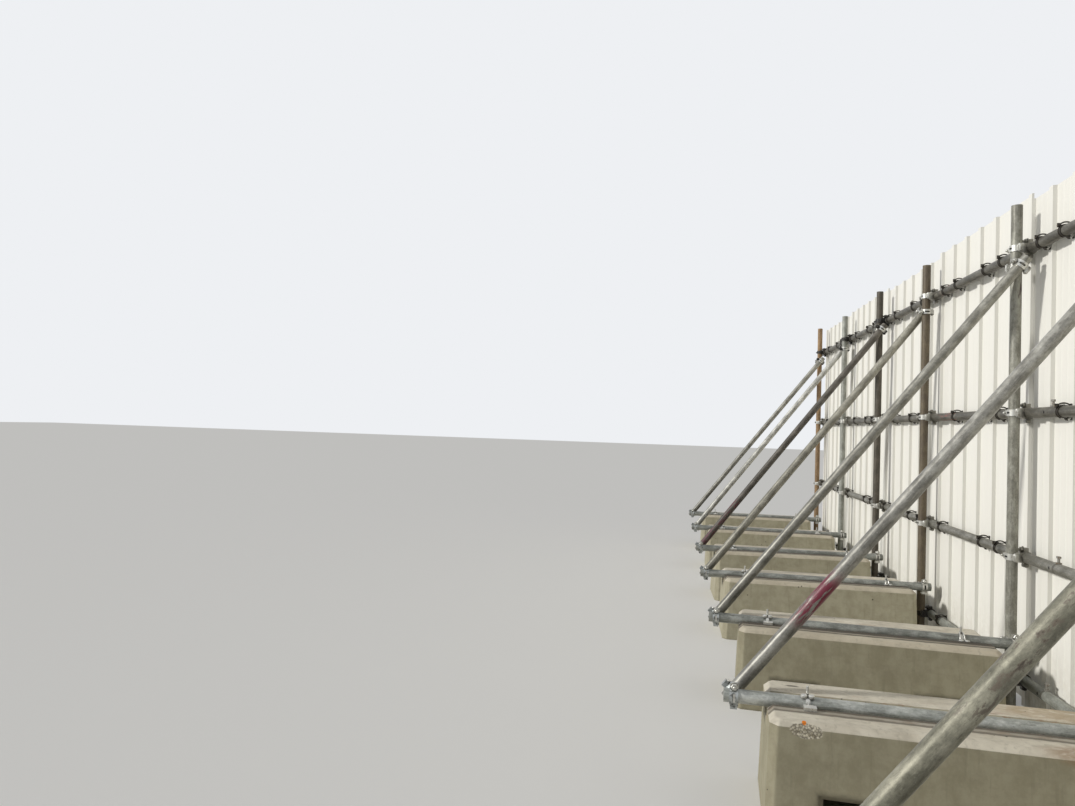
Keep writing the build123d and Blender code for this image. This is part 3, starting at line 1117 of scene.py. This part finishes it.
@dataclass
class BlockClamps:
    """What clamps each foot tube down on its block.

    The outer clamps have a stud, two nuts, a strap and a foot plate; the inner ones a stud and a double
    leg that bends over the tube and spreads towards the braced side, with a nut on each half.
    """

    nodes: dict
    stud: Bolt = Bolt(stud=0.005, reach=0.034)
    stud_place: Place = (0.0, 0.0, 0.0265)
    nut: Rod = Rod(0.0115, 0.0, 0.012, (0.0025, 0.003))
    outer_nuts: Place = (0.012, -0.013, 0.0225)
    inner_nuts: Place = (0.0125, -0.06, 0.001)
    plate: Bar = Bar((-0.021, -0.104, 0.0085), (0.021, -0.073, 0.0205), 0.002)
    strap: Place = (0.013, 0.004, 0.0008)
    strap_path: tuple = ((0.0, -0.026, 0.012), (0.0, -0.044, 0.0), (0.0, -0.066, 0.004), (0.0, -0.078, 0.015))
    leg: Place = (0.0095, 0.0045, 0.001)
    leg_arc: tuple = (0.0318, 84.0, 190.0, 9)
    leg_toe: tuple = ((0.0, -0.046, -0.004), (0.0, -0.058, 0.006))
    leg_spread: Pair = (0.0055, 0.0135)

    def outer(self) -> list[Array]:
        """The hardware of an outer clamp, about the tube's axis.

        Returns:
            Nuts, plate and strap.
        """
        x, y, z = self.outer_nuts
        nuts = [moved(self.nut.surface(), at((side * x, y, z))) for side in (-1.0, 1.0)]
        return [*nuts, self.plate.surface(), carried(oblong(*self.strap), np.array(self.strap_path))]

    def inner(self) -> list[Array]:
        """The hardware of an inner clamp, about the tube's axis.

        Returns:
            Legs and nuts.
        """
        pieces, (x, y, z) = [], self.inner_nuts
        for side in (-1.0, 1.0):
            leg = np.vstack([bow(*self.leg_arc), self.leg_toe])
            leg[:, 0] = side * np.linspace(*self.leg_spread, len(leg))
            pieces += [carried(oblong(*self.leg), leg), moved(self.nut.surface(), at((side * x, y, z)))]
        return pieces

    def build(self) -> None:
        """Dresses the clamps and adds their hardware along each foot tube."""
        bright = FittingLook.BRIGHT_ZINC.value.material()
        dress(self.nodes["block_clamps"], bright)
        feet = [axis_of(self.nodes[f"foot_tube_{number}"]) for number in FRAMES]
        stud = moved(self.stud.shank(), at(self.stud_place))
        outer, inner, pieces = self.outer(), self.inner(), []
        for centre in island_middles(self.nodes["block_clamps"]):
            foot = min(feet, key=lambda line: line.distance(centre))
            place = standing(foot.nearest(centre), UP, foot.way)
            pieces += [moved(part, place) for part in (stud, *(inner if centre[1] > 0.0 else outer))]
        make_piece("block_clamp_hardware", pieces, bright)


@dataclass
class Clips:
    """The hooks, nuts and tails of the sheeting clips, and the bolts of the ledgers' joints.

    Places are from the ledger's axis, and for a joint from its middle.
    """

    nodes: dict
    hook: Hoop = Hoop(0.0033, 0.0365, 22.0, 152.0, 12, 0.001)
    ring: Hoop = Hoop(0.003, 0.0275, 95.0, 255.0, 12, -0.009)
    tail: Hoop = Hoop(0.0035, 0.034, -72.0, -48.0, 4, 0.009, 8)
    nut: Bolt = Bolt(stud=0.0035, nut=0.007, thick=0.008, reach=0.016, washer=0.0085)
    nut_place: Place = (-0.006, -0.0245, 0.0245)
    lug: Bar = Bar((-0.004, -0.008, -0.009), (0.002, 0.008, 0.009), 0.001)
    low_nut: Bolt = Bolt(stud=0.003, nut=0.0072, thick=0.007, reach=0.013, washer=0.0088)
    low_place: Place = (0.002, 0.008, -0.0262)
    low_way: Place = (0.3, 0.35, -1.0)
    joint_shank: Rod = Rod(0.0055, 0.02, 0.05)
    joint_head: Bar = Bar((-0.0105, -0.006, 0.046), (0.0105, 0.006, 0.055), 0.0015)
    joint_seat: Rod = Rod(0.012, 0.0225, 0.029, None, 6)
    # Painted shadow: a black disc just inside each joint's drilled hole
    joint_hole: Rod = Rod(0.0064, 0.0212, 0.0234, None, 16)
    hole_place: float = -0.032

    def clips(self) -> None:
        """Dresses the straps and adds what holds each on its ledger."""
        dark = FittingLook.CLIP.value.material()
        dress(self.nodes["sheeting_clips"], dark)
        ledgers = [axis_of(self.nodes[name]) for name in LEDGERS]
        hook, ring, tail, lug = (part.surface() for part in (self.hook, self.ring, self.tail, self.lug))
        hooks, nuts, tails = [], [], []
        for centre in island_middles(self.nodes["sheeting_clips"]):
            origin = min(ledgers, key=lambda line: line.distance(centre)).nearest(centre)
            seat = origin + self.nut_place
            low = standing(origin + self.low_place, self.low_way, SIDEWAYS)
            hooks += [moved(hook, at(origin)), moved(ring, at(origin)), moved(lug, at(seat))]
            hooks += [moved(part, low) for part in self.low_nut.surfaces()]
            tails.append(moved(tail, at(origin)))
            spot = standing(seat, -SIDEWAYS, (0.0, -1.0, 1.0))
            nuts += [moved(part, spot) for part in self.nut.surfaces()]
        make_piece("clip_hooks", hooks, dark)
        make_piece("clip_nuts", nuts, FittingLook.YELLOW_ZINC.value.material())
        make_piece("clip_tails", tails, FittingLook.BRIGHT_ZINC.value.material())

    def joints(self) -> None:
        """Dresses the joint pins and adds the bolt of each, and a black disc painted as the shadow in its
        drilled hole.
        """
        dress(self.nodes["ledger_joint_pins"], FittingLook.JOINT.value.material())
        pieces, holes = [], []
        for centre in island_middles(self.nodes["ledger_joint_pins"]):
            hole = standing(centre + self.hole_place * SIDEWAYS, (0.0, -1.0, 0.0), SIDEWAYS)
            holes.append(moved(self.joint_hole.surface(), hole))
            parts = (self.joint_shank, self.joint_head, self.joint_seat)
            pieces += [moved(part.surface(), at(centre)) for part in parts]
        make_piece("joint_bolts", pieces, FittingLook.DULL_ZINC.value.material())
        # Painted shadow: black discs in the drilled holes
        make_piece("joint_hole_shades", holes, FittingLook.BLACK.value.material())

    def build(self) -> None:
        """Dresses and completes the clips and the joints."""
        self.clips()
        self.joints()


@dataclass
class Studio:
    """Plain pale floor, soft light and the camera of the photograph."""

    eye: Place = (5.178, -0.9064, 1.2928)
    yaw: float = -0.1762
    pitch: float = 0.0286
    roll: float = 0.0327
    lens: float = 25.71
    sensor: float = 36.0
    clip: Pair = (0.02, 400.0)
    sun_from: Place = (0.24, -1.0, 0.44)
    sun_strength: float = 2.2
    sun_degrees: float = 5.0
    sky_strength: float = 0.36
    floor_half: float = 60.0

    def floor(self) -> None:
        """A pale floor, wide enough to reach the horizon from every side."""
        material, put = new_material("pale_floor")
        put(Kind.OUTPUT, put(Kind.DIFFUSE, linear("#F0EFEC")))
        size = self.floor_half
        mesh = bpy.data.meshes.new("floor")
        corners = [(-size, -size, 0), (size, -size, 0), (size, size, 0), (-size, size, 0)]
        mesh.from_pydata(corners, [], [(0, 1, 2, 3)])
        mesh.materials.append(material)
        new_object("floor", mesh)

    def sky(self) -> None:
        """Even light from all round, which the camera and reflections see as near white."""
        world = bpy.data.worlds.new("studio")
        bpy.context.scene.world = world
        world.use_nodes = True
        world.node_tree.nodes.clear()
        put = partial(add, world.node_tree)
        ray = put(Kind.RAY).outputs
        seen = put(Kind.LARGER, ray["Is Camera Ray"], ray["Is Transmission Ray"])
        seen = put(Kind.LARGER, seen, ray["Is Glossy Ray"])
        soft = put(Kind.LIGHT, linear("#F4F6FA"), self.sky_strength)
        white = put(Kind.LIGHT, linear("#EEF0F3"), 1.0)
        put(Kind.WORLD, put(Kind.EITHER, seen, soft, white))

    def sun(self) -> None:
        """One broad lamp from the braced side, high up."""
        lamp = bpy.data.lights.new("key", "SUN")
        lamp.energy = self.sun_strength
        lamp.angle = math.radians(self.sun_degrees)
        lamp.color = linear("#FFFDF8")[:3]
        key = new_object("key", lamp)
        key.rotation_mode = "QUATERNION"
        key.rotation_quaternion = (-Vector(self.sun_from)).to_track_quat("-Z", "Y")

    def camera(self) -> None:
        """The camera at the photograph's place: yaw, pitch and roll from the fence's own lines."""
        level = Vector((math.sin(self.yaw), math.cos(self.yaw), 0.0))
        flat = Vector((-level.y, level.x, 0.0)) * math.cos(self.pitch)
        ahead = flat + Vector((0.0, 0.0, math.sin(self.pitch)))
        over = level.cross(ahead)
        right = level * math.cos(self.roll) + over * math.sin(self.roll)
        up = over * math.cos(self.roll) - level * math.sin(self.roll)
        turn = Matrix((right, up, -ahead)).transposed()
        lens = bpy.data.cameras.new("camera")
        lens.lens = self.lens
        lens.sensor_width = self.sensor
        lens.clip_start, lens.clip_end = self.clip
        camera = new_object("camera", lens)
        camera.matrix_world = Matrix.Translation(self.eye) @ turn.to_4x4()
        bpy.context.scene.camera = camera

    def build(self) -> None:
        """Sets up the studio."""
        bpy.context.scene.view_settings.view_transform = "Standard"
        self.floor()
        self.sky()
        self.sun()
        self.camera()


def main() -> None:
    """Builds and dresses every sub-assembly in turn."""
    logging.basicConfig(level=logging.INFO, format="%(message)s")
    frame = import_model()
    pieces = (ConcreteBlocks, ScaffoldTubes, SheetRun, Couplers, BlockClamps, Clips)
    for part in (*(piece(frame["nodes"]) for piece in pieces), Studio()):
        part.build()
        LOG.info("built %s", type(part).__name__)


if __name__ == "__main__":
    main()
